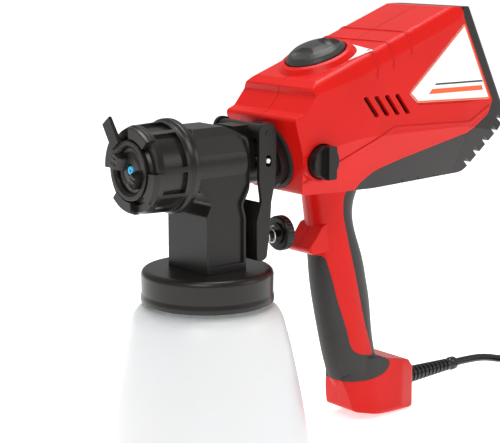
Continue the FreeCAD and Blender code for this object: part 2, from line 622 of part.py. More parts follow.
def dial_hole():
    return rod(DIAL - DIAL_UP * 30, DIAL_UP, 5.2, 60).fuse(rod(DIAL - DIAL_UP * 1.5, DIAL_UP, 21.8, 20))


def side_knob_hole():
    seat = rod(V(SIDE_KNOB.x, -60, SIDE_KNOB.z), EY, 12.2, 60 - SEAT_Y)
    return seat.fuse(rod(V(SIDE_KNOB.x, -60, SIDE_KNOB.z), EY, 4.2, 40))


def boot_hole():
    return rod(V(BOOT_X - 20, 0, BOOT_Z), EX, 6.1, 40)


def half(shape, side):
    return shape.common(box(-100, 400, 0, 80, -20, 340) if side > 0 else box(-100, 400, -80, 0, -20, 340))


def rear_cover(rear):
    """Rear bumper and filter cover, with air slots in its slanting back."""
    for i in range(5):
        spot = V(248, 0, 214.5) + (V(223.5, 0, 183) - V(248, 0, 214.5)) * (i / 4)
        notch = Part.makeBox(9, 90, 3.4, V(-7, -45, -1.7))
        notch.rotate(V(0, 0, 0), EY, 38)
        notch.translate(spot)
        rear = rear.cut(notch)
    tilt = math.degrees(math.atan2(REAR_BACK.z, REAR_BACK.x))
    first = V(REAR_HIGH[0], 0, REAR_HIGH[1]) - REAR_UP * 15
    for i in range(9):
        slot = Part.makeBox(12, 42, 2.6, V(-8, -21, -1.3))
        slot.rotate(V(0, 0, 0), EY, -tilt)
        slot.translate(first - REAR_UP * (6.0 * i))
        rear = rear.cut(slot)
    return rear


def air_filter():
    """Foam pad that lies behind the slotted cover."""
    return side_prism([(205.5, 284.5, 1), (211, 287.5, 1), (236, 240, 1), (230.0, 239.5, 1)], -30, 30)


def top_dial():
    """Round dial with a scooped thumb bar, and its stem down through the casing."""
    dial = turned_about(DIAL, DIAL_UP, EY,
                        [(-1.2, 0, 0), (-1.2, 21.4, 0.4), (1.6, 21.4, 0.5), (3.8, 19.2, 0.5), (3.8, 0, 0)])
    crown = turned_about(DIAL + DIAL_UP * 3.0, DIAL_UP, EY, [(0, 0, 0), (0, 17.6, 0), (3.6, 13.5, 3), (5.0, 0, 0)])
    bar = Part.makeBox(15, 60, 14, V(-7.5, -30, 0))
    bar.rotate(V(0, 0, 0), EY, -math.degrees(DIAL_TILT))
    bar.translate(DIAL)
    dial = dial.fuse(crown.common(bar))
    stem = rod(DIAL - DIAL_UP * 8.2, DIAL_UP, 4.9, 8.2)
    return dial.fuse(stem).removeSplitter()


def side_knob():
    """Lock knob: a disc with a grip bar across it, and its spindle into the casing."""
    base = turned_about(V(SIDE_KNOB.x, -SEAT_Y - 0.1, SIDE_KNOB.z), EY * -1, EX,
                        [(0, 0, 0), (0, 11.6, 0.3), (8.6, 11.0, 0.8), (8.6, 0, 0)])
    bar = box(SIDE_KNOB.x - 2.6, SIDE_KNOB.x + 4.4, -SEAT_Y - 13.2, -SEAT_Y - 8, SIDE_KNOB.z - 11.2, SIDE_KNOB.z + 11.2)
    limit = rod(V(SIDE_KNOB.x, -SEAT_Y - 14, SIDE_KNOB.z), EY, 11.6, 10)
    spindle = rod(V(SIDE_KNOB.x, -SEAT_Y - 1, SIDE_KNOB.z), EY, 4.0, 8.6)
    return fused([base, bar.common(limit), spindle])


def lock_cam():
    """Cam on the side knob's spindle that bolts the head's neck into the casing."""
    return rod(V(SIDE_KNOB.x, -26.9, SIDE_KNOB.z), EY, 3.4, 2.2).fuse(
        box(SIDE_KNOB.x - 3, SIDE_KNOB.x + 5.5, -26.9, -24.8, SIDE_KNOB.z - 3, SIDE_KNOB.z + 3)).removeSplitter()


def side_plates():
    return plate_prism(PLATE_FACE - 1.0, PLATE_FACE, 0)


def top_plate():
    """Small name plate let into the top, behind the dial."""
    slope = V(math.cos(TOP_SLOPE), 0, math.sin(TOP_SLOPE))
    up = V(-math.sin(TOP_SLOPE), 0, math.cos(TOP_SLOPE))
    corner = V(78, 0, 258.1) + slope * 50 + up * 0.05
    pts = [(0, 2, 1), (0, -29, 1), (-9, -29, 2), (-9, -17, 1)]
    return Part.Face(outline(pts, lambda p: corner + slope * p.x + EY * p.y)).extrude(up * 0.6)


# ---- inside the casing ----
def at_axis(distance, up=0.0, aside=0.0):
    return NECK + U * distance + W * up + EY * aside


def neck_gasket():
    return ring(at_axis(0.2), U, 24.6, 21.9, 1.8)


def coupling_ring():
    """Socket in the casing's nose that the head's neck turns into."""
    return ring(at_axis(4.0), U, 22.3, 21.7, 10).fuse(ring(at_axis(14.0), U, 24.5, 21.7, 3)).removeSplitter()


def outlet_duct():
    """Bell that gathers the turbine's air into the neck."""
    outer = [(18, 0, 0), (18, 23.5, 0), (24, 25.6, 2), (36, 25.6, 0), (36, 0, 0)]
    inner = [(17, 0, 0), (17, 21.5, 0), (23.5, 23.8, 2), (37, 23.8, 0), (37, 0, 0)]
    return turned_about(NECK, U, W, outer).cut(turned_about(NECK, U, W, inner))


def motor_stator():
    return ring(at_axis(58), U, 25.5, 16.4, 30)


def armature():
    """Shaft with its wound core and commutator."""
    return fused([rod(at_axis(40), U, 4.0, 98), rod(at_axis(58), U, 15.8, 30), rod(at_axis(94), U, 9.0, 10)])


def bearing(start):
    return ring(at_axis(start), U, 9.5, 4.03, 6)


def motor_bracket(start, width):
    """Cross arms that hold a bearing to the casing's bosses."""
    plate = ring(at_axis(start), U, 26.0, 9.55, width)
    for angle in range(0, 360, 90):
        turn = math.radians(angle + 45)
        hole = at_axis(start - 1) + W * (17.5 * math.sin(turn)) + EY * (17.5 * math.cos(turn))
        plate = plate.cut(rod(hole, U, 5.5, width + 2))
    return plate


def brush_holders():
    holders = []
    for side in (-1, 1):
        start = at_axis(99) + EY * (side * 9.4)
        holders.append(ring(start, EY * side, 4.2, 2.6, 11).fuse(rod(start, EY * side, 2.6, 10)).removeSplitter())
    return holders


def motor_mount():
    """Rubber ring that cushions the motor in the casing."""
    return ring(at_axis(70), U, 28.6, 25.6, 8)


def fan():
    """Centrifugal fan on the rear of the motor shaft."""
    start = 118
    disc = rod(at_axis(start), U, 30.5, 1.8)
    hub = rod(at_axis(start), U, 8, 13)
    parts = [disc, hub]
    for i in range(9):
        blade = Part.makeBox(13.0, 21.5, 1.4, V(0, 8.0, -0.7))
        blade.rotate(V(0, 8, 0), EX, 28)
        blade.rotate(V(0, 0, 0), EX, 40 * i)
        blade.rotate(V(0, 0, 0), EY, -math.degrees(TILT))
        blade.translate(at_axis(start))
        parts.append(blade)
    body = fused(parts)
    return body.common(rod(at_axis(start), U, 30.5, 13)).cut(rod(at_axis(start - 1), U, 4.0, 30))


def fan_shroud():
    """Case round the fan, open in the middle at the rear."""
    shell = turned_about(NECK, U, W, [(112, 12.5, 0), (112, 33.6, 2), (136, 33.6, 2), (136, 15, 0), (134.4, 15, 0),
                                      (134.4, 32.0, 1), (113.6, 32.0, 1), (113.6, 12.5, 0)])
    for i in range(8):
        turn = math.radians(45 * i)
        vent = at_axis(110) + W * (27.5 * math.sin(turn)) + EY * (27.5 * math.cos(turn))
        shell = shell.cut(rod(vent, U, 3.4, 5))
    return shell


def speed_control():
    """Rotary switch and motor control below the top dial."""
    case = Part.makeBox(26, 24, 11, V(-13, -12, -11))
    case.rotate(V(0, 0, 0), EY, -math.degrees(DIAL_TILT))
    case.translate(DIAL - DIAL_UP * 8.4)
    return case


def suppressor():
    return box(99, 112, -5, 5, 128, 146)


def cord_clamp():
    bar = box(CLAMP_X - 4, CLAMP_X + 4, -11.5, 11.5, 23.1, 26).fuse(box(CLAMP_X - 2, CLAMP_X + 2, -3, 3, 22.4, 23.5))
    for y in (-CLAMP_Y, CLAMP_Y):
        bar = bar.cut(rod(V(CLAMP_X, y, 20), EZ, 1.6, 10))
    return bar.removeSplitter()


def clamp_screws():
    return [rod(V(CLAMP_X, y, 16), EZ, 1.5, 10.5).fuse(rod(V(CLAMP_X, y, 26.05), EZ, 3.2, 2.2)).removeSplitter()
            for y in (-CLAMP_Y, CLAMP_Y)]


def housing_screws():
    """Self-tapping screws that close the casing from its left side."""
    screws = []
    for x, z in SCREW_SPOTS:
        shank = rod(V(x, -13, z), EY, SCREW_R, 22.3)
        head = rod(V(x, 9.05, z), EY, 3.4, 2.6)
        slot = box(x - 0.5, x + 0.5, 10.6, 13, z - 2, z + 2).fuse(box(x - 2, x + 2, 10.6, 13, z - 0.5, z + 0.5))
        screws.append(shank.fuse(head).cut(slot).removeSplitter())
    return screws


# ---- cord ----
def cord_boot():
    """Tapered strain relief, held in the foot by its collar."""
    return turned_about(V(BOOT_X, 0, BOOT_Z), EX, EZ,
                        [(-9, CORD_R, 0), (-9, 8.0, 0.5), (-5, 8.0, 0.5), (-5, 6.0, 0), (0, 6.0, 0),
                         (BOOT_L - 3.5, 4.6, 0.5), (BOOT_L - 3.5, 5.2, 0.5), (BOOT_L, 5.0, 0.5), (BOOT_L, CORD_R, 0)])


CORD_ROUTE = [V(BOOT_X + BOOT_L, 0, BOOT_Z), V(262, 0, 19.3), V(280, -0.3, 17.5), V(297, -0.2, 12.7),
              V(314, 0.2, 9.4)]
PLUG_LEAD = [V(360.3, -56.5, 3.0), V(354.2, -75.5, 3.2), V(342.4, -88.8, 4.4), V(327.0, -95.5, 6.85),
             V(313.0, -95.5, 6.85)]


def lead(route):
    """Plain round lead along straight runs joined by tangent arcs."""
    edges = []
    last = route[0]
    for before, corner, after in zip(route, route[1:], route[2:]):
        back = before - corner
        on = after - corner
        turn = math.pi - back.getAngle(on)
        reach = 0.45 * min(back.Length, on.Length)
        radius = reach / math.tan(turn / 2)
        start = corner + V(back).normalize() * reach
        end = corner + V(on).normalize() * reach
        inward = (V(back).normalize() + V(on).normalize()).normalize()
        crown = corner + inward * (radius / math.cos(turn / 2) - radius)
        print("cord bend radius", round(radius, 1))
        edges.append(Part.LineSegment(last, start).toShape())
        edges.append(Part.Arc(start, crown, end).toShape())
        last = end
    edges.append(Part.LineSegment(last, route[-1]).toShape())
    path = Part.Wire(edges)
    section = Part.Wire(Part.makeCircle(CORD_R, route[0], route[1] - route[0]))
    tube = path.makePipeShell([section], True, True)
    print("lead volume", round(tube.Volume, 1), "section times length", round(math.pi * CORD_R ** 2 * path.Length, 1))
    return tube


def power_cord():
    """The lead from the boot to the coil, and from the coil to the plug."""
    return [lead(route).cut(cord_coil()) for route in (CORD_ROUTE, PLUG_LEAD)]


def cord_coil():
    """Outer shape of the wound lead, two layers of turns."""
    half_width = COIL_TURNS * CORD_R
    low = COIL_R - half_width
    high = COIL_R + half_width
    corners = [(low, 0, 2), (high, 0, 2), (high, 4 * CORD_R, 2), (low, 4 * CORD_R, 2)]
    face = Part.Face(outline(corners, lambda p: COIL + EX * p.x + EZ * p.y))
    return face.revolve(COIL, EZ, 360)


PLUG_TAIL = PLUG_LEAD[-1]   # the plug lies beside the coil, its pins towards -X
PLUG_H = 13.7
PLUG_L = 34.0
PIN_GAP = 18.6           # standard spacing of a flat two-pin plug's pins


def plug_body():
    """Flat two-pin plug that lies beside the coil."""
    x, y = PLUG_TAIL.x, PLUG_TAIL.y
    widest = PIN_GAP / 2 + 3.6
    corners = [(x, y - 4, 2), (x, y + 4, 2), (x - 10, y + 5, 6), (x - 20, y + widest, 8), (x - PLUG_L, y + widest, 3),
               (x - PLUG_L, y - widest, 3), (x - 20, y - widest, 8), (x - 10, y - 5, 6)]
    return plan_prism(corners, 0.0, PLUG_H)


def plug_pins():
    return [rod(V(PLUG_TAIL.x - PLUG_L, PLUG_TAIL.y + y, PLUG_H / 2), EX * -1, 2.0, 19) for y in (-PIN_GAP / 2, PIN_GAP / 2)]


def main():
    os.makedirs("parts", exist_ok=True)
    shell, rear_grip, front_grip, rear = casing_parts()
    screws = housing_screws()
    parts = {
        "paint_cup": paint_cup(), "cup_lid": cup_lid(), "cup_gasket": cup_gasket(), "check_valve": check_valve(),
        "suction_tube": suction_tube(), "spray_head": spray_head(), "fluid_nozzle": fluid_nozzle(),
        "air_seal": air_seal(), "air_cap": air_cap(), "pattern_lever": pattern_lever(), "union_nut": union_nut(),
        "paint_needle": needle(), "needle_packing": needle_packing(), "needle_yoke": needle_yoke(),
        "needle_pin": needle_pin(), "trigger": trigger(), "trigger_pin": trigger_pin(), "flow_stud": flow_stud(),
        "flow_spring": flow_spring(), "spring_washer": spring_washer(), "flow_knob": flow_knob(),
        "housing_left": half(shell, 1), "housing_right": half(shell, -1),
        "rear_grip_left": half(rear_grip, 1), "rear_grip_right": half(rear_grip, -1),
        "front_grip_left": half(front_grip, 1), "front_grip_right": half(front_grip, -1),
        "rear_cover": rear_cover(rear), "air_filter": air_filter(), "top_dial": top_dial(),
        "side_knob": side_knob(), "lock_cam": lock_cam(), "name_plate_left": side_plates()[1],
        "name_plate_right": side_plates()[0], "top_plate": top_plate(), "neck_gasket": neck_gasket(),
        "coupling_ring": coupling_ring(), "outlet_duct": outlet_duct(), "motor_stator": motor_stator(),
        "armature": armature(), "front_bearing": bearing(42), "rear_bearing": bearing(106),
        "front_bracket": motor_bracket(42, 6), "rear_bracket": motor_bracket(106, 5),
        "brush_holders": Part.makeCompound(brush_holders()), "motor_mount": motor_mount(), "fan": fan(),
        "fan_shroud": fan_shroud(), "speed_control": speed_control(), "suppressor": suppressor(),
        "cord_clamp": cord_clamp(), "clamp_screws": Part.makeCompound(clamp_screws()),
        "housing_screws": Part.makeCompound(screws), "cord_boot": cord_boot(), "power_cord": Part.makeCompound(power_cord()),
        "cord_coil": cord_coil(), "plug_body": plug_body(), "plug_pins": Part.makeCompound(plug_pins()),
    }
    for name, shape in parts.items():
        save(name, shape)


main()
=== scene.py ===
"""Looks for the handheld HVLP paint spray gun: finishes, cord, cup, dial, name plates and stage.

Laid out as an add-on and run as a script. Blender works in metres, so values in millimetres are
multiplied by MM where they are used. Shader scales, bevels and settings are in metres already.
"""
import math

import bmesh
import bpy
from mathutils import Matrix, Vector


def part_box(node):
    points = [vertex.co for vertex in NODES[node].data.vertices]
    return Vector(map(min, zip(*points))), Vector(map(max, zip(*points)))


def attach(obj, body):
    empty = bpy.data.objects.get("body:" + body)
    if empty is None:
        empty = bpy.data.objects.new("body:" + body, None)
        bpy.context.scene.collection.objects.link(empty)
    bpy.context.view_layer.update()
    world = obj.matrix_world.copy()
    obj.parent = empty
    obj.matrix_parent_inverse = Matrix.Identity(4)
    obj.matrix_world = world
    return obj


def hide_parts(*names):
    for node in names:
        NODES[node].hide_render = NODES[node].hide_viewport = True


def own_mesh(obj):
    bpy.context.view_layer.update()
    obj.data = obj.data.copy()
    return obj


bl_info = {
    "name": "HVLP Spray Gun",
    "version": (1, 0, 0),
    "blender": (4, 5, 0),
    "location": "View3D > Sidebar > Spray Gun",
    "description": "Builds the looks of a handheld electric paint spray gun round its packed frame",
    "category": "Object",
}

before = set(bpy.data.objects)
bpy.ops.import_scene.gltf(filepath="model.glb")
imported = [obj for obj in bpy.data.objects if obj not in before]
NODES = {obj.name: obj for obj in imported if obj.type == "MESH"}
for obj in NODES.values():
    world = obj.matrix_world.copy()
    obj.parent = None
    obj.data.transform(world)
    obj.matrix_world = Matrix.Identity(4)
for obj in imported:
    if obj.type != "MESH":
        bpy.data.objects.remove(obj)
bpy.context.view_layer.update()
MM = 0.001
X_AXIS = Vector((1, 0, 0))
Z_AXIS = Vector((0, 0, 1))
WHITE = (1.0, 1.0, 1.0, 1.0)

SPRAY_AXIS_Z = 203.5 * MM
TOP_SLOPE = math.radians(19.7)
DIAL_TILT = math.radians(21.2)
DIAL_UP = Vector((-math.sin(DIAL_TILT), 0, math.cos(DIAL_TILT)))
DIAL_CENTRE = Vector((95.7, 0, 268.6)) * MM
BOOT_END_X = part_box("cord_boot")[1].x
BOOT_START_X = 186.0 * MM
BOOT_Z = 19.5 * MM


# ---- settings ----
class CasingSettings(bpy.types.PropertyGroup):
    red: bpy.props.FloatVectorProperty(
        name="Casing red", description="Colour of the moulded casing", subtype="COLOR",
        size=3, min=0, max=1, default=(0.62, 0.007, 0.004))
    dark: bpy.props.FloatVectorProperty(
        name="Dark plastic", description="Colour of the head, nut, trigger and covers", subtype="COLOR",
        size=3, min=0, max=1, default=(0.0095, 0.0078, 0.0068))
    grip: bpy.props.FloatVectorProperty(
        name="Grip rubber", description="Colour of the soft grips", subtype="COLOR",
        size=3, min=0, max=1, default=(0.024, 0.0215, 0.0205))
    gloss: bpy.props.FloatProperty(
        name="Casing roughness", description="How matt the red casing is", subtype="FACTOR",
        min=0.05, max=1, default=0.33)


class CupSettings(bpy.types.PropertyGroup):
    tone: bpy.props.FloatVectorProperty(
        name="Cup white", description="Colour of the translucent cup", subtype="COLOR",
        size=3, min=0, max=1, default=(0.9, 0.9, 0.885))
    wall: bpy.props.FloatProperty(
        name="Wall", description="Thickness of the cup's wall", unit="LENGTH", min=0.0005, default=0.0018)
    segments: bpy.props.IntProperty(
        name="Segments", description="Facets round the cup", min=24, default=144)


class CordSettings(bpy.types.PropertyGroup):
    diameter: bpy.props.FloatProperty(
        name="Diameter", description="Outer diameter of the lead", unit="LENGTH", min=0.002,
        default=0.006)
    turns: bpy.props.IntProperty(
        name="Turns", description="Turns side by side in each layer of the coil", min=1, default=4)
    coil_centre: bpy.props.FloatVectorProperty(
        name="Coil centre", description="Centre of the put-away coil on the floor", unit="LENGTH",
        size=3, default=(0.325, -0.039, 0.0))
    coil_radius: bpy.props.FloatProperty(
        name="Coil radius", description="Radius of the middle of the turns", unit="LENGTH", default=0.030)


class StageSettings(bpy.types.PropertyGroup):
    floor: bpy.props.FloatVectorProperty(
        name="Floor", description="Colour of the floor", subtype="COLOR", size=3, min=0, max=1,
        default=(0.93, 0.93, 0.93))
    glow: bpy.props.FloatProperty(
        name="Floor glow", description="Light given off by the floor, as on a lit table", min=0,
        default=0.62)
    light: bpy.props.FloatProperty(
        name="Light", description="Strength of the soft boxes", min=0, default=1.0)
    sky: bpy.props.FloatProperty(
        name="Surround", description="Strength of the even light from all round", min=0, default=0.42)


# ---- finishes ----
def new_finish(name):
    """Empty node material with its shader, ready for a finish to be built on it."""
    material = bpy.data.materials.new(name)
    material.use_nodes = True
    tree = material.node_tree
    return material, tree, tree.nodes["Principled BSDF"]


def noise(tree, coords, scale, detail=3.0, rough=0.5):
    """Noise value from 0 to 1 over the coordinates."""
    node = tree.nodes.new("ShaderNodeTexNoise")
    node.inputs["Scale"].default_value = scale
    node.inputs["Detail"].default_value = detail
    node.inputs["Roughness"].default_value = rough
    tree.links.new(coords, node.inputs["Vector"])
    return node.outputs["Fac"]


def ramp(tree, value, stops):
    """Colour ramp over (position, colour) stops."""
    node = tree.nodes.new("ShaderNodeValToRGB")
    elements = node.color_ramp.elements
    while len(elements) < len(stops):
        elements.new(0.5)
    for element, (position, colour) in zip(elements, stops):
        element.position = position
        element.color = (*colour, 1.0)
    tree.links.new(value, node.inputs["Fac"])
    return node.outputs["Color"]


def remap(tree, value, low, high):
    """Spreads a value of 0 to 1 over low to high."""
    node = tree.nodes.new("ShaderNodeMapRange")
    node.inputs["To Min"].default_value = low
    node.inputs["To Max"].default_value = high
    tree.links.new(value, node.inputs["Value"])
    return node.outputs["Result"]


def object_coords(tree):
    """Coordinates that stay with the object as it moves."""
    return tree.nodes.new("ShaderNodeTexCoord").outputs["Object"]


def bump(tree, shader, height, strength, distance, edge):
    """Surface relief, over edges softened by the edge radius."""
    node = tree.nodes.new("ShaderNodeBump")
    node.inputs["Strength"].default_value = strength
    node.inputs["Distance"].default_value = distance
    tree.links.new(height, node.inputs["Height"])
    if edge > 0:
        soft = tree.nodes.new("ShaderNodeBevel")
        soft.samples = 6
        soft.inputs["Radius"].default_value = edge
        tree.links.new(soft.outputs["Normal"], node.inputs["Normal"])
    tree.links.new(node.outputs["Normal"], shader.inputs["Normal"])


def tinted(colour, factor):
    """Colour made darker or lighter by a factor."""
    return tuple(min(1.0, channel * factor) for channel in colour)


def moulded_plastic(name, colour, roughness, grain=1400.0, relief=0.12, edge=0.0005, drift=0.12,
                    shine=0.5):
    """Moulded plastic with slow colour drift, fine grain and softened edges."""
    material, tree, shader = new_finish(name)
    coords = object_coords(tree)
    slow = noise(tree, coords, 22.0, 2.0)
    fine = noise(tree, coords, grain, 4.0, 0.6)
    stops = [(0.3, tinted(colour, 1 - drift)), (0.7, tinted(colour, 1 + drift))]
    tree.links.new(ramp(tree, slow, stops), shader.inputs["Base Color"])
    tree.links.new(remap(tree, fine, roughness - 0.05, roughness + 0.07), shader.inputs["Roughness"])
    shader.inputs["Specular IOR Level"].default_value = shine
    bump(tree, shader, fine, relief, 0.00006, edge)
    return material


def speckled_rubber(name, colour):
    """Overmoulded rubber with a close pebble grain that catches the light."""
    material, tree, shader = new_finish(name)
    coords = object_coords(tree)
    cells = tree.nodes.new("ShaderNodeTexVoronoi")
    cells.inputs["Scale"].default_value = 1100.0
    tree.links.new(coords, cells.inputs["Vector"])
    fine = noise(tree, coords, 2300.0, 2.0, 0.7)
    stops = [(0.42, tinted(colour, 0.75)), (0.62, colour), (0.74, tinted(colour, 3.6))]
    tree.links.new(ramp(tree, fine, stops), shader.inputs["Base Color"])
    shader.inputs["Roughness"].default_value = 0.58
    bump(tree, shader, cells.outputs["Distance"], 0.55, 0.00022, 0.0004)
    return material


def brushed_metal(name, colour, roughness):
    """Drawn steel with fine lines along it."""
    material, tree, shader = new_finish(name)
    mapping = tree.nodes.new("ShaderNodeMapping")
    mapping.inputs["Scale"].default_value = (4.0, 60.0, 60.0)
    tree.links.new(object_coords(tree), mapping.inputs["Vector"])
    lines = noise(tree, mapping.outputs["Vector"], 60.0, 4.0, 0.6)
    stops = [(0.3, tinted(colour, 0.8)), (0.7, colour)]
    tree.links.new(ramp(tree, lines, stops), shader.inputs["Base Color"])
    tree.links.new(remap(tree, lines, roughness, roughness + 0.15), shader.inputs["Roughness"])
    shader.inputs["Metallic"].default_value = 1.0
    bump(tree, shader, lines, 0.1, 0.00005, 0.0)
    return material


def milky_plastic(name, colour):
    """Milky moulded plastic that lets light into it."""
    material, tree, shader = new_finish(name)
    coords = object_coords(tree)
    slow = noise(tree, coords, 9.0, 2.0)
    fine = noise(tree, coords, 500.0, 3.0)
    cream = (colour[0], colour[1] * 0.985, colour[2] * 0.95)
    stops = [(0.35, cream), (0.6, tuple(colour))]
    tree.links.new(ramp(tree, slow, stops), shader.inputs["Base Color"])
    tree.links.new(remap(tree, fine, 0.27, 0.36), shader.inputs["Roughness"])
    shader.inputs["Subsurface Weight"].default_value = 0.7
    shader.inputs["Subsurface Radius"].default_value = (1.0, 0.92, 0.82)
    shader.inputs["Subsurface Scale"].default_value = 0.008
    bump(tree, shader, fine, 0.05, 0.0001, 0.0)
    return material


def ringed_plastic(name, colour, roughness):
    """Dark plastic with shallow rings turned round the spray axis."""
    material, tree, shader = new_finish(name)
    mapping = tree.nodes.new("ShaderNodeMapping")
    mapping.inputs["Location"].default_value = (0.0, 0.0, -SPRAY_AXIS_Z)
    tree.links.new(object_coords(tree), mapping.inputs["Vector"])
    rings = tree.nodes.new("ShaderNodeTexWave")
    rings.wave_type = "RINGS"
    rings.rings_direction = "X"
    rings.inputs["Scale"].default_value = 60.0
    tree.links.new(mapping.outputs["Vector"], rings.inputs["Vector"])
    fine = noise(tree, mapping.outputs["Vector"], 900.0, 3.0)
    stops = [(0.2, tinted(colour, 0.7)), (0.8, tinted(colour, 1.25))]
    tree.links.new(ramp(tree, rings.outputs["Fac"], stops), shader.inputs["Base Color"])
    tree.links.new(remap(tree, fine, roughness, roughness + 0.1), shader.inputs["Roughness"])
    bump(tree, shader, rings.outputs["Fac"], 0.2, 0.0003, 0.0003)
    return material


def wound_core(name, iron, copper):
    """Stacked steel sheets with copper windings showing between them."""
    material, tree, shader = new_finish(name)
    bands = tree.nodes.new("ShaderNodeTexWave")
    bands.inputs["Scale"].default_value = 260.0
    tree.links.new(object_coords(tree), bands.inputs["Vector"])
    stops = [(0.45, iron), (0.7, copper)]
    tree.links.new(ramp(tree, bands.outputs["Fac"], stops), shader.inputs["Base Color"])
    shader.inputs["Metallic"].default_value = 0.8
    shader.inputs["Roughness"].default_value = 0.45
    bump(tree, shader, bands.outputs["Fac"], 0.3, 0.0002, 0.0)
    return material


def open_foam(name, colour):
    """Open-cell filter foam, with painted shade darkening the pits of its cells."""
    material, tree, shader = new_finish(name)
    cells = tree.nodes.new("ShaderNodeTexVoronoi")
    cells.inputs["Scale"].default_value = 700.0
    tree.links.new(object_coords(tree), cells.inputs["Vector"])
    # painted shade: the colour is darkest at the cell centres, which the bump below sinks into pits
    stops = [(0.1, tinted(colour, 0.3)), (0.6, colour)]
    tree.links.new(ramp(tree, cells.outputs["Distance"], stops), shader.inputs["Base Color"])
    shader.inputs["Roughness"].default_value = 0.95
    bump(tree, shader, cells.outputs["Distance"], 0.9, 0.0006, 0.0)
    return material


FINISHES = {}


def make_finishes(casing, cup):
    """All finishes of the gun, by name. Numbers are roughness, grain, relief, edge, drift and shine."""
    red = tuple(casing.red)
    dark = tuple(casing.dark)
    grip = tuple(casing.grip)
    FINISHES.update(
        red=moulded_plastic("casing_red", red, casing.gloss, 1500, 0.1, 0.0009, 0.05, 0.2),
        dark=moulded_plastic("head_black", dark, 0.33, 1300, 0.14, 0.0005, 0.12, 0.3),
        nut=moulded_plastic("nut_black", dark, 0.3, 1300, 0.16, 0.0004, 0.12, 0.35),
        lid=moulded_plastic("lid_black", tinted(dark, 1.2), 0.3, 900, 0.2, 0.0008, 0.12, 0.35),
        cover=moulded_plastic("cover_black", tinted(dark, 1.4), 0.38, 1500, 0.14, 0.0009, 0.12, 0.3),
        dial=moulded_plastic("dial_grey", (0.03, 0.029, 0.028), 0.33, 1500, 0.1, 0.0005, 0.12, 0.35),
        grip=moulded_plastic("soft_grip", grip, 0.46, 1900, 0.2, 0.0007, 0.12, 0.3),
        pebble=speckled_rubber("pebbled_grip", tinted(grip, 0.95)),
        cup=milky_plastic("milky_cup", cup.tone),
        seal=moulded_plastic("seal_rubber", (0.02, 0.02, 0.02), 0.5, 900, 0.2, 0.0003),
        cyan=moulded_plastic("cyan_nozzle", (0.03, 0.42, 0.72), 0.25, 900, 0.05, 0.0002),
        horn=ringed_plastic("air_cap_black", tinted(dark, 1.4), 0.3),
        grey=moulded_plastic("grey_plastic", (0.3, 0.31, 0.32), 0.42, 1300, 0.1, 0.0003),
        ivory=moulded_plastic("pin_white", (0.85, 0.85, 0.83), 0.3, 900, 0.05, 0.0003),
        paper=moulded_plastic("plate_white", (0.9, 0.9, 0.9), 0.3, 700, 0.04, 0.0),
        orange=moulded_plastic("plate_orange", (0.83, 0.105, 0.01), 0.32, 700, 0.04, 0.0),
        ink=moulded_plastic("plate_ink", (0.02, 0.02, 0.02), 0.35, 700, 0.04, 0.0),
        cord=moulded_plastic("cord_black", (0.012, 0.012, 0.012), 0.22, 600, 0.08, 0.0),
        steel=brushed_metal("bright_steel", (0.62, 0.61, 0.6), 0.22),
        spring=brushed_metal("spring_steel", (0.68, 0.67, 0.66), 0.3),
        brass=brushed_metal("bright_brass", (0.75, 0.53, 0.22), 0.25),
        core=wound_core("wound_core", (0.3, 0.29, 0.28), (0.6, 0.24, 0.09)),
        foam=open_foam("filter_foam", (0.05, 0.05, 0.05)),
    )


NODE_FINISH = {
    "red": ("housing_left", "housing_right"),
    "dark": ("spray_head", "trigger", "pattern_lever", "coupling_ring", "outlet_duct", "front_bracket",
             "rear_bracket", "fan_shroud", "speed_control", "cord_clamp", "side_knob", "flow_knob",
             "trigger_pin", "flow_stud", "spring_washer"),
    "nut": ("union_nut",),
    "lid": ("cup_lid",),
    "cover": ("rear_cover",),
    "grip": ("rear_grip_left", "rear_grip_right"),
    "pebble": ("front_grip_left", "front_grip_right"),
    "seal": ("neck_gasket", "check_valve", "needle_packing", "cup_gasket", "air_seal", "motor_mount"),
    "cyan": ("fluid_nozzle",),
    "horn": ("air_cap",),
    "grey": ("suppressor", "lock_cam", "needle_yoke", "fan"),
    "ivory": ("needle_pin", "suction_tube"),
    "paper": ("name_plate_left", "name_plate_right"),
    "cord": ("plug_body",),
    "steel": ("front_bearing", "rear_bearing", "clamp_screws", "housing_screws", "plug_pins",
              "paint_needle"),
    "spring": ("flow_spring",),
    "brass": ("brush_holders",),
    "core": ("motor_stator", "armature"),
    "foam": ("air_filter",),
}


def wear(obj, finish):
    """Gives an object one finish all over."""
    obj.data.materials.clear()
    obj.data.materials.append(FINISHES[finish])
    return obj


# ---- mesh helpers ----
def add_piece(name, mesh, finish, body, replaces=()):
    """Links a new piece, dresses it and lets it ride on its body."""
    obj = bpy.data.objects.new(name, mesh)
    bpy.context.scene.collection.objects.link(obj)
    wear(obj, finish)
    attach(obj, body)
    if replaces:
        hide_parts(*replaces)
    return obj


def smooth_by_angle(mesh, degrees=35.0):
    """Smooth shading, with edges sharper than the angle kept crisp."""
    mesh.polygons.foreach_set("use_smooth", [True] * len(mesh.polygons))
    mesh.set_sharp_from_angle(angle=math.radians(degrees))
    mesh.update()


def rounded(points, steps=6):
    """(a, b, radius) corners to plain points, with each radius as an arc of a few steps."""
    out = []
    count = len(points)
    for i, (a, b, radius) in enumerate(points):
        here = Vector((a, b))
        before = Vector(points[i - 1][:2]) - here
        after = Vector(points[(i + 1) % count][:2]) - here
        if radius <= 0 or i in (0, count - 1):
            out.append(here)
            continue
        before.normalize()
        after.normalize()
        half = before.angle(after) / 2
        reach = radius / math.tan(half)
        centre = here + (before + after).normalized() * (radius / math.sin(half))
        first = here + before * reach - centre
        last = here + after * reach - centre
        sweep = first.angle_signed(last)
        for step in range(steps + 1):
            turn = Matrix.Rotation(-sweep * step / steps, 2)
            out.append(centre + turn @ first)
    return out


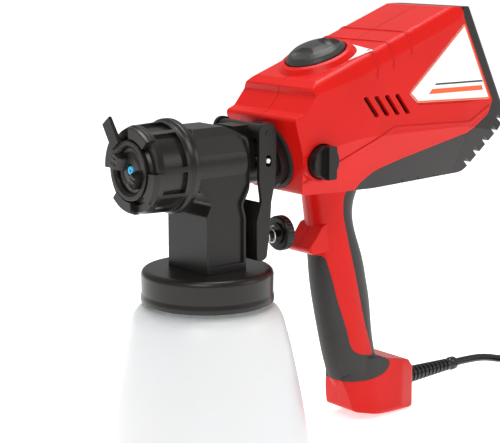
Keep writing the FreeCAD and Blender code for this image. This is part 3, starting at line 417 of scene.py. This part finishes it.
def revolve(name, profile, origin, axis, across, segments=96):
    """Solid of revolution from plain (along, radius) points about any axis."""
    builder = bmesh.new()
    side = axis.cross(across)
    rings = []
    for i in range(segments):
        turn = 2 * math.pi * i / segments
        out = across * math.cos(turn) + side * math.sin(turn)
        ring = [origin + axis * along + out * radius for along, radius in profile]
        rings.append([builder.verts.new(place) for place in ring])
    for i in range(segments):
        here = rings[i]
        there = rings[(i + 1) % segments]
        for k in range(len(profile) - 1):
            builder.faces.new((here[k], there[k], there[k + 1], here[k + 1]))
    bmesh.ops.remove_doubles(builder, verts=builder.verts, dist=1e-6)
    bmesh.ops.recalc_face_normals(builder, faces=builder.faces)
    mesh = bpy.data.meshes.new(name)
    builder.to_mesh(mesh)
    builder.free()
    smooth_by_angle(mesh)
    return mesh


def slab(name, corners, place, thickness, bevel=0.0):
    """Flat piece from a rounded outline. place maps (a, b) to space and thickness is a vector."""
    builder = bmesh.new()
    verts = [builder.verts.new(place(a, b)) for a, b in corners]
    face = builder.faces.new(verts)
    made = bmesh.ops.extrude_face_region(builder, geom=[face])
    top = [item for item in made["geom"] if isinstance(item, bmesh.types.BMVert)]
    bmesh.ops.translate(builder, verts=top, vec=thickness)
    bmesh.ops.recalc_face_normals(builder, faces=builder.faces)
    if bevel > 0:
        bmesh.ops.bevel(builder, geom=list(builder.edges), offset=bevel, segments=2, affect="EDGES",
                        profile=0.5)
    mesh = bpy.data.meshes.new(name)
    builder.to_mesh(mesh)
    builder.free()
    smooth_by_angle(mesh, 25)
    return mesh


def cut_away(obj, cutters):
    """Cuts the cutters out of obj and removes them."""
    for cutter in cutters:
        modifier = obj.modifiers.new("cut", "BOOLEAN")
        modifier.operation = "DIFFERENCE"
        modifier.solver = "EXACT"
        modifier.object = cutter
    bpy.context.view_layer.update()
    graph = bpy.context.evaluated_depsgraph_get()
    mesh = bpy.data.meshes.new_from_object(obj.evaluated_get(graph))
    obj.modifiers.clear()
    obj.data = mesh
    for cutter in cutters:
        bpy.data.objects.remove(cutter)
    smooth_by_angle(obj.data, 28)


# ---- cup ----
# (height, radius) in millimetres, from above the rounded foot to below the neck
CUP_WALL = [(18.0, 67.85), (27.0, 66.6), (40.7, 64.15), (54.5, 61.5), (68.2, 58.6), (82.0, 55.6),
            (94.0, 52.3), (97.5, 51.3), (101.0, 49.7), (104.0, 47.5), (106.0, 44.9), (107.3, 42.2)]
CUP_FOOT_R = 60.0
CUP_FOOT_ROUND = 9.0
CUP_NECK_R = 40.6
CUP_NECK_Z = (109.0, 124.0)


def cup_profile(inset):
    """(height, radius) points up the outside of the cup, or up its inside when inset, in millimetres."""
    foot = []
    steps = 8
    curve = CUP_FOOT_ROUND - inset
    for i in range(steps + 1):
        turn = math.pi / 2 * i / steps
        foot.append((CUP_FOOT_ROUND - curve * math.cos(turn), CUP_FOOT_R + curve * math.sin(turn)))
    wall = [(height, radius - inset) for height, radius in CUP_WALL]
    neck = [(height, CUP_NECK_R - inset) for height in CUP_NECK_Z]
    return [(inset, 0.0)] + foot + wall + neck


def build_cup(settings):
    """Thin-walled cup, open at the top."""
    outside = [(height * MM, radius * MM) for height, radius in cup_profile(0.0)]
    inside = [(height * MM, radius * MM) for height, radius in cup_profile(settings.wall / MM)]
    base = Vector((0, 0, 0))
    mesh = revolve("cup_wall", outside + inside[::-1], base, Z_AXIS, X_AXIS, settings.segments)
    return add_piece("cup_wall", mesh, "cup", "cup", ("paint_cup",))


# ---- dial ----
# (height, radius, rounding) in millimetres, from the middle of the underside to the middle of the top
DIAL_SHAPE = [(-1.2, 0, 0), (-1.2, 21.3, 0), (1.7, 21.3, 0.6), (4.0, 18.9, 0.8), (6.2, 15.4, 5),
              (8.0, 8, 14), (8.6, 0, 0)]
SCOOP_Z = 12.2
# place along and across the slope, half sizes and swing in degrees of each scoop
SCOOPS = (((-15.5, 0.0), (11.0, 19.0, 7.6), 8), ((11.5, -5.0), (8.6, 12.5, 11.4), -30))


def scoop_cutter(place, radii, swing):
    """Ellipsoid that hollows one scoop out of the dial."""
    builder = bmesh.new()
    bmesh.ops.create_uvsphere(builder, u_segments=64, v_segments=40, radius=1.0)
    mesh = bpy.data.meshes.new("scoop")
    builder.to_mesh(mesh)
    builder.free()
    cutter = bpy.data.objects.new("scoop", mesh)
    bpy.context.scene.collection.objects.link(cutter)
    along, aside = place
    slope = Vector((math.cos(DIAL_TILT), 0, math.sin(DIAL_TILT)))
    centre = DIAL_CENTRE + slope * (along * MM) + Vector((0, aside * MM, 0)) + DIAL_UP * (SCOOP_Z * MM)
    turn = Matrix.Rotation(-DIAL_TILT, 4, "Y") @ Matrix.Rotation(math.radians(swing), 4, "Z")
    size = Matrix.Diagonal([radius * MM for radius in radii] + [1.0])
    cutter.matrix_world = Matrix.Translation(centre) @ turn @ size
    return cutter


def build_dial():
    """Speed dial: a chamfered dome with a thumb wing left between two scoops."""
    points = [(along * MM, radius * MM) for along, radius in rounded(DIAL_SHAPE)]
    across = DIAL_UP.cross(Vector((0, 1, 0)))
    mesh = revolve("speed_dial", points, DIAL_CENTRE, DIAL_UP, across, 128)
    dial = add_piece("speed_dial", mesh, "dial", "dial", ("top_dial",))
    cut_away(dial, [scoop_cutter(*scoop) for scoop in SCOOPS])
    return dial


# ---- flow spring ----
SPRING_FRONT_X = 26.2
SPRING_MEETING_X = 46.0
SPRING_REAR_X = 58.6
SPRING_Z = 147.0
SPRING_R = 5.6
SPRING_PITCH = 5.2
SPRING_WIRE_R = 0.6


def wire_ring(builder, x, around):
    """Ring of points round the spring's wire, at one place along the spring."""
    turn = 2 * math.pi * x / SPRING_PITCH
    out = Vector((0, math.cos(turn), math.sin(turn)))
    centre = Vector((x, 0, SPRING_Z)) + out * SPRING_R
    ring = []
    for k in range(around):
        angle = 2 * math.pi * k / around
        wire = X_AXIS * math.cos(angle) + out * math.sin(angle)
        ring.append(builder.verts.new((centre + wire * SPRING_WIRE_R) * MM))
    return ring


def spring_length(name, start, end):
    """One length of the coiled wire, from start to end along the spring."""
    per_turn = 24
    around = 8
    builder = bmesh.new()
    count = int((end - start) / SPRING_PITCH * per_turn) + 1
    rings = [wire_ring(builder, start + (end - start) * i / count, around) for i in range(count + 1)]
    for here, there in zip(rings, rings[1:]):
        for k in range(around):
            n = (k + 1) % around
            builder.faces.new((here[k], there[k], there[n], here[n]))
    builder.faces.new(rings[0])
    builder.faces.new(rings[-1][::-1])
    bmesh.ops.recalc_face_normals(builder, faces=builder.faces)
    mesh = bpy.data.meshes.new(name)
    builder.to_mesh(mesh)
    builder.free()
    smooth_by_angle(mesh, 60)
    piece = add_piece(name, mesh, "spring", "head", ("flow_spring",))
    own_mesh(piece)
    return piece


def build_spring():
    """Flow spring in two lengths, a front one and a rear one, meeting at SPRING_MEETING_X."""
    spring_length("spring_front", SPRING_FRONT_X, SPRING_MEETING_X)
    spring_length("spring_rear", SPRING_MEETING_X, SPRING_REAR_X)


# ---- name plates ----
PLATE_CORNERS = [(148.5, 241.5), (203.5, 288.0), (233.0, 231.8), (157.0, 234.2)]
PLATE_Y = 39.0
PRINT_GAP = 0.02
PRINT_RAISE = 0.12
EDGE_INSETS = (0.15, 1.35)
# name, finish, underside, height and front end of each printed band
BANDS = (("plate_band_", "orange", 239.0, 3.4, 168.0), ("plate_line_", "ink", 245.0, 1.2, 174.0))
BAND_END_X = 223.0


def inset_polygon(corners, depth):
    """Moves each side of a convex outline inwards by depth."""
    count = len(corners)
    middle = sum((Vector(corner) for corner in corners), Vector((0, 0))) / count
    lines = []
    for i in range(count):
        a = Vector(corners[i])
        b = Vector(corners[(i + 1) % count])
        along = (b - a).normalized()
        inward = Vector((-along.y, along.x))
        if inward.dot(middle - a) < 0:
            inward = -inward
        lines.append((a + inward * depth, along))
    out = []
    for i in range(count):
        p, u = lines[i - 1]
        q, w = lines[i]
        cross = u.x * w.y - u.y * w.x
        reach = ((q.x - p.x) * w.y - (q.y - p.y) * w.x) / cross
        out.append(p + u * reach)
    return out


def plate_print(side):
    """Orange edge and two plain bands printed on one name plate. side is -1 or 1 for the Y side."""
    tag = "right" if side < 0 else "left"
    face_y = side * (PLATE_Y + PRINT_GAP) * MM
    raise_by = Vector((0, side * PRINT_RAISE * MM, 0))

    def place(x, z):
        return Vector((x * MM, face_y, z * MM))

    outlines = [inset_polygon(PLATE_CORNERS, depth) for depth in EDGE_INSETS]
    builder = bmesh.new()
    rings = [[builder.verts.new(place(*corner) + raise_by) for corner in ring] for ring in outlines]
    for i in range(len(PLATE_CORNERS)):
        k = (i + 1) % len(PLATE_CORNERS)
        builder.faces.new((rings[0][i], rings[0][k], rings[1][k], rings[1][i]))
    mesh = bpy.data.meshes.new("plate_edge_" + tag)
    builder.to_mesh(mesh)
    builder.free()
    add_piece("plate_edge_" + tag, mesh, "orange", "motor_body")
    for name, finish, low, height, start in BANDS:
        corners = [(start, low + 0.6), (start + height, low + height + 0.6), (BAND_END_X, low + height),
                   (BAND_END_X + 1.5, low)]
        flat = slab(name + tag, corners, place, raise_by)
        add_piece(name + tag, flat, finish, "motor_body")


TOP_CORNER = Vector((78, 0, 258.1)) * MM
LABEL_REAR = [(49.5 * MM, -2 * MM), (43.0 * MM, -33 * MM)]
LABEL_SEAT_R = 28.0 * MM
LABEL_ARC = (-82, 77)


def build_top_label():
    """White label on the top, following the dial's round seat."""
    slope = Vector((math.cos(TOP_SLOPE), 0, math.sin(TOP_SLOPE)))
    up = Vector((-math.sin(TOP_SLOPE), 0, math.cos(TOP_SLOPE)))
    seat_along = (DIAL_CENTRE - TOP_CORNER).dot(slope)
    corners = list(LABEL_REAR)
    start, sweep = LABEL_ARC
    steps = 10
    for i in range(steps + 1):
        turn = math.radians(start + sweep * i / steps)
        corners.append((seat_along + LABEL_SEAT_R * math.cos(turn), LABEL_SEAT_R * math.sin(turn)))

    def place(along, aside):
        return TOP_CORNER + slope * along + Vector((0, aside, 0)) + up * (0.05 * MM)

    mesh = slab("top_label", corners, place, up * (0.4 * MM))
    return add_piece("top_label", mesh, "paper", "motor_body", ("top_plate",))


# ---- cord ----
# points of the lead in millimetres: from the boot to the coil, and from the coil to the plug
CORD_ROUTE = [(262, 0, 19.3), (280, -0.3, 17.5), (297, -0.2, 12.7), (314, 0.2, 9.4)]
PLUG_LEAD = [(354.2, -75.5, 3.2), (342.4, -88.8, 4.4), (327.0, -95.5, 6.85), (313.0, -95.5, 6.85)]


def coil_points(settings):
    """Turns of the coil: inwards over the upper layer, then outwards over the lower one."""
    d = settings.diameter
    centre = Vector(settings.coil_centre)
    inwards = [settings.coil_radius + (settings.turns / 2 - 0.5 - k) * d for k in range(settings.turns)]
    radii = inwards + inwards[::-1]
    per_turn = 20
    leaving_angle = 110
    leaves_at = 2 * settings.turns - 1 + leaving_angle / 360
    points = []
    for i in range(int(leaves_at * per_turn) + 1):
        lap, part = divmod(i, per_turn)
        shift = max(0.0, part / per_turn - 0.75) / 0.25
        shift = shift * shift * (3 - 2 * shift)   # each turn keeps its radius for three quarters of a lap
        radius = radii[lap] + (radii[min(lap + 1, len(radii) - 1)] - radii[lap]) * shift
        lowered = 0.0 if lap < settings.turns - 1 else 1.0
        if lap == settings.turns - 1:
            lowered = shift
        turn = math.pi / 2 - 2 * math.pi * i / per_turn
        height = (1.5 - lowered) * d
        points.append(centre + Vector((radius * math.cos(turn), radius * math.sin(turn), height)))
    return points


def build_cord(settings):
    """The lead as one spline: out of the boot, into the coil, and on to the plug."""
    start = Vector((BOOT_END_X, 0, BOOT_Z))
    points = [start] + [Vector(p) * MM for p in CORD_ROUTE] + coil_points(settings)
    points += [Vector(p) * MM for p in PLUG_LEAD]
    curve = bpy.data.curves.new("mains_lead", "CURVE")
    curve.dimensions = "3D"
    curve.bevel_depth = settings.diameter / 2
    curve.bevel_resolution = 6
    curve.use_fill_caps = True
    curve.resolution_u = 6
    spline = curve.splines.new("NURBS")
    spline.points.add(len(points) - 1)
    for point, place in zip(spline.points, points):
        point.co = (*place, 1.0)
    spline.order_u = 3
    spline.use_endpoint_u = True
    lead = add_piece("mains_lead", curve, "cord", "motor_body", ("power_cord", "cord_coil"))
    return lead


# (along, radius) of the strain relief in millimetres, from where it leaves the handle
BOOT_ROOT = [(-9, 3.05), (-9, 8.0), (-5, 8.0), (-5, 6.0), (0, 6.0), (3, 6.6)]
BOOT_TIP = [(52.5, 4.4), (53.3, 5.15), (57.2, 5.15), (58.0, 4.7), (58.0, 3.05)]
BOOT_RIBS = 11
BOOT_PITCH = 4.3
BOOT_TAPER = (6.5, 1.9)
# (share of the pitch, drop from the rib's radius) across one rib and the groove after it
BOOT_RIB = ((0, 0), (0.62, 0.1), (0.68, 0.9), (0.94, 0.95))


def build_boot():
    """Ribbed strain relief with a flared end."""
    profile = list(BOOT_ROOT)
    widest, taper = BOOT_TAPER
    for i in range(BOOT_RIBS):
        along = 4.0 + BOOT_PITCH * i
        radius = widest - taper * i / BOOT_RIBS
        profile += [(along + BOOT_PITCH * share, radius - drop) for share, drop in BOOT_RIB]
    profile += BOOT_TIP
    points = [(along * MM, radius * MM) for along, radius in profile]
    origin = Vector((BOOT_START_X, 0, BOOT_Z))
    mesh = revolve("strain_relief", points, origin, X_AXIS, Z_AXIS, 48)
    return add_piece("strain_relief", mesh, "cord", "motor_body", ("cord_boot",))


# ---- stage ----
SENSOR_WIDTH = 36.0
LENS = 106.70112
CAMERA_PLACE = Vector((-590.66, -767.21, 354.30)) * MM
CAMERA_AZIMUTH = math.radians(-39.28)
CAMERA_ELEVATION = math.radians(11.18)
FLOOR_HALF = 16.0
FLOOR_Z = -0.0004
LIGHTS_AIM = Vector((0.08, 0, 0.16))
# name, place, size and power of each soft box
SOFT_BOXES = (("key", (-1.1, -0.9, 1.5), 0.9, 13.0), ("top", (0.2, 0.3, 1.9), 1.2, 27.0),
              ("side", (1.3, -1.4, 0.9), 0.8, 5.0))


def turn_towards(obj, direction):
    """Points a camera or a lamp along a direction."""
    obj.rotation_mode = "QUATERNION"
    obj.rotation_quaternion = direction.to_track_quat("-Z", "Y")


def build_camera(scene):
    """Camera with a long lens, slightly above the gun and to the side of its nozzle."""
    data = bpy.data.cameras.new("camera")
    data.sensor_width = SENSOR_WIDTH
    data.lens = LENS
    data.clip_end = 50.0
    camera = bpy.data.objects.new("camera", data)
    scene.collection.objects.link(camera)
    level = math.cos(CAMERA_ELEVATION)
    back = Vector((math.sin(CAMERA_AZIMUTH) * level, -math.cos(CAMERA_AZIMUTH) * level,
                   math.sin(CAMERA_ELEVATION)))
    camera.location = CAMERA_PLACE
    turn_towards(camera, -back)
    scene.camera = camera


def build_floor(scene, settings):
    """Large pale floor that gives off a little light."""
    material, tree, shader = new_finish("pale_floor")
    mottled = noise(tree, object_coords(tree), 3.0)
    tone = tuple(settings.floor)
    stops = [(0.3, tinted(tone, 0.99)), (0.7, tone)]
    tree.links.new(ramp(tree, mottled, stops), shader.inputs["Base Color"])
    shader.inputs["Roughness"].default_value = 0.8
    shader.inputs["Specular IOR Level"].default_value = 0.1
    shader.inputs["Emission Color"].default_value = WHITE
    shader.inputs["Emission Strength"].default_value = settings.glow
    corners = [(x * FLOOR_HALF, y * FLOOR_HALF, FLOOR_Z) for x, y in ((-1, -1), (1, -1), (1, 1), (-1, 1))]
    mesh = bpy.data.meshes.new("floor")
    mesh.from_pydata(corners, [], [(0, 1, 2, 3)])
    mesh.materials.append(material)
    floor = bpy.data.objects.new("floor", mesh)
    scene.collection.objects.link(floor)


def build_surround(scene, settings):
    """Even light from all round."""
    world = bpy.data.worlds.new("surround")
    world.use_nodes = True
    sky = world.node_tree.nodes["Background"]
    sky.inputs["Color"].default_value = WHITE
    sky.inputs["Strength"].default_value = settings.sky
    scene.world = world


def build_lights(scene, settings):
    """Soft boxes aimed at the middle of the gun."""
    for name, place, size, power in SOFT_BOXES:
        lamp = bpy.data.lights.new(name, "AREA")
        lamp.size = size
        lamp.energy = power * settings.light
        obj = bpy.data.objects.new(name, lamp)
        obj.location = place
        turn_towards(obj, LIGHTS_AIM - Vector(place))
        scene.collection.objects.link(obj)


def build_stage(settings):
    """Camera, pale floor, even surround and soft boxes."""
    scene = bpy.context.scene
    scene.view_settings.view_transform = "Standard"
    build_camera(scene)
    build_floor(scene, settings)
    build_surround(scene, settings)
    build_lights(scene, settings)


# ---- operators ----
class SPRAYGUN_OT_stage(bpy.types.Operator):
    """Camera, floor and lights"""
    bl_idname = "spraygun.stage"
    bl_label = "Stage"

    def execute(self, context):
        build_stage(context.scene.spraygun_stage)
        return {"FINISHED"}


class SPRAYGUN_OT_finishes(bpy.types.Operator):
    """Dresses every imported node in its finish"""
    bl_idname = "spraygun.finishes"
    bl_label = "Finishes"

    def execute(self, context):
        make_finishes(context.scene.spraygun_casing, context.scene.spraygun_cup)
        for finish, names in NODE_FINISH.items():
            for name in names:
                wear(NODES[name], finish)
        return {"FINISHED"}


class SPRAYGUN_OT_cord(bpy.types.Operator):
    """Lead, coil and strain relief"""
    bl_idname = "spraygun.cord"
    bl_label = "Cord"

    def execute(self, context):
        build_boot()
        build_cord(context.scene.spraygun_cord)
        return {"FINISHED"}


class SPRAYGUN_OT_cup(bpy.types.Operator):
    """Translucent paint cup"""
    bl_idname = "spraygun.cup"
    bl_label = "Cup"

    def execute(self, context):
        build_cup(context.scene.spraygun_cup)
        return {"FINISHED"}


class SPRAYGUN_OT_dial(bpy.types.Operator):
    """Speed dial on top of the casing"""
    bl_idname = "spraygun.dial"
    bl_label = "Speed dial"

    def execute(self, context):
        build_dial()
        return {"FINISHED"}


class SPRAYGUN_OT_spring(bpy.types.Operator):
    """Flow spring behind the trigger"""
    bl_idname = "spraygun.spring"
    bl_label = "Flow spring"

    def execute(self, context):
        build_spring()
        return {"FINISHED"}


class SPRAYGUN_OT_plates(bpy.types.Operator):
    """Print on the name plates"""
    bl_idname = "spraygun.plates"
    bl_label = "Name plates"

    def execute(self, context):
        for side in (-1, 1):
            plate_print(side)
        build_top_label()
        return {"FINISHED"}


class SPRAYGUN_PT_panel(bpy.types.Panel):
    """Lists the gun's builders"""
    bl_idname = "SPRAYGUN_PT_panel"
    bl_label = "Spray Gun"
    bl_space_type = "VIEW_3D"
    bl_region_type = "UI"
    bl_category = "Spray Gun"

    def draw(self, context):
        for operator in OPERATORS:
            self.layout.operator(operator.bl_idname)


SETTINGS = {"spraygun_casing": CasingSettings, "spraygun_cup": CupSettings, "spraygun_cord": CordSettings,
            "spraygun_stage": StageSettings}
OPERATORS = (SPRAYGUN_OT_finishes, SPRAYGUN_OT_stage, SPRAYGUN_OT_cord, SPRAYGUN_OT_cup, SPRAYGUN_OT_dial,
             SPRAYGUN_OT_spring, SPRAYGUN_OT_plates)


def register():
    for name, group in SETTINGS.items():
        bpy.utils.register_class(group)
        setattr(bpy.types.Scene, name, bpy.props.PointerProperty(type=group))
    for operator in OPERATORS:
        bpy.utils.register_class(operator)
    bpy.utils.register_class(SPRAYGUN_PT_panel)


def unregister():
    bpy.utils.unregister_class(SPRAYGUN_PT_panel)
    for operator in reversed(OPERATORS):
        bpy.utils.unregister_class(operator)
    for name, group in reversed(SETTINGS.items()):
        delattr(bpy.types.Scene, name)
        bpy.utils.unregister_class(group)


def main():
    """Builds everything."""
    register()
    bpy.ops.spraygun.finishes()
    bpy.ops.spraygun.stage()
    bpy.ops.spraygun.cord()
    bpy.ops.spraygun.cup()
    bpy.ops.spraygun.dial()
    bpy.ops.spraygun.spring()
    bpy.ops.spraygun.plates()


if __name__ == "__main__":
    main()
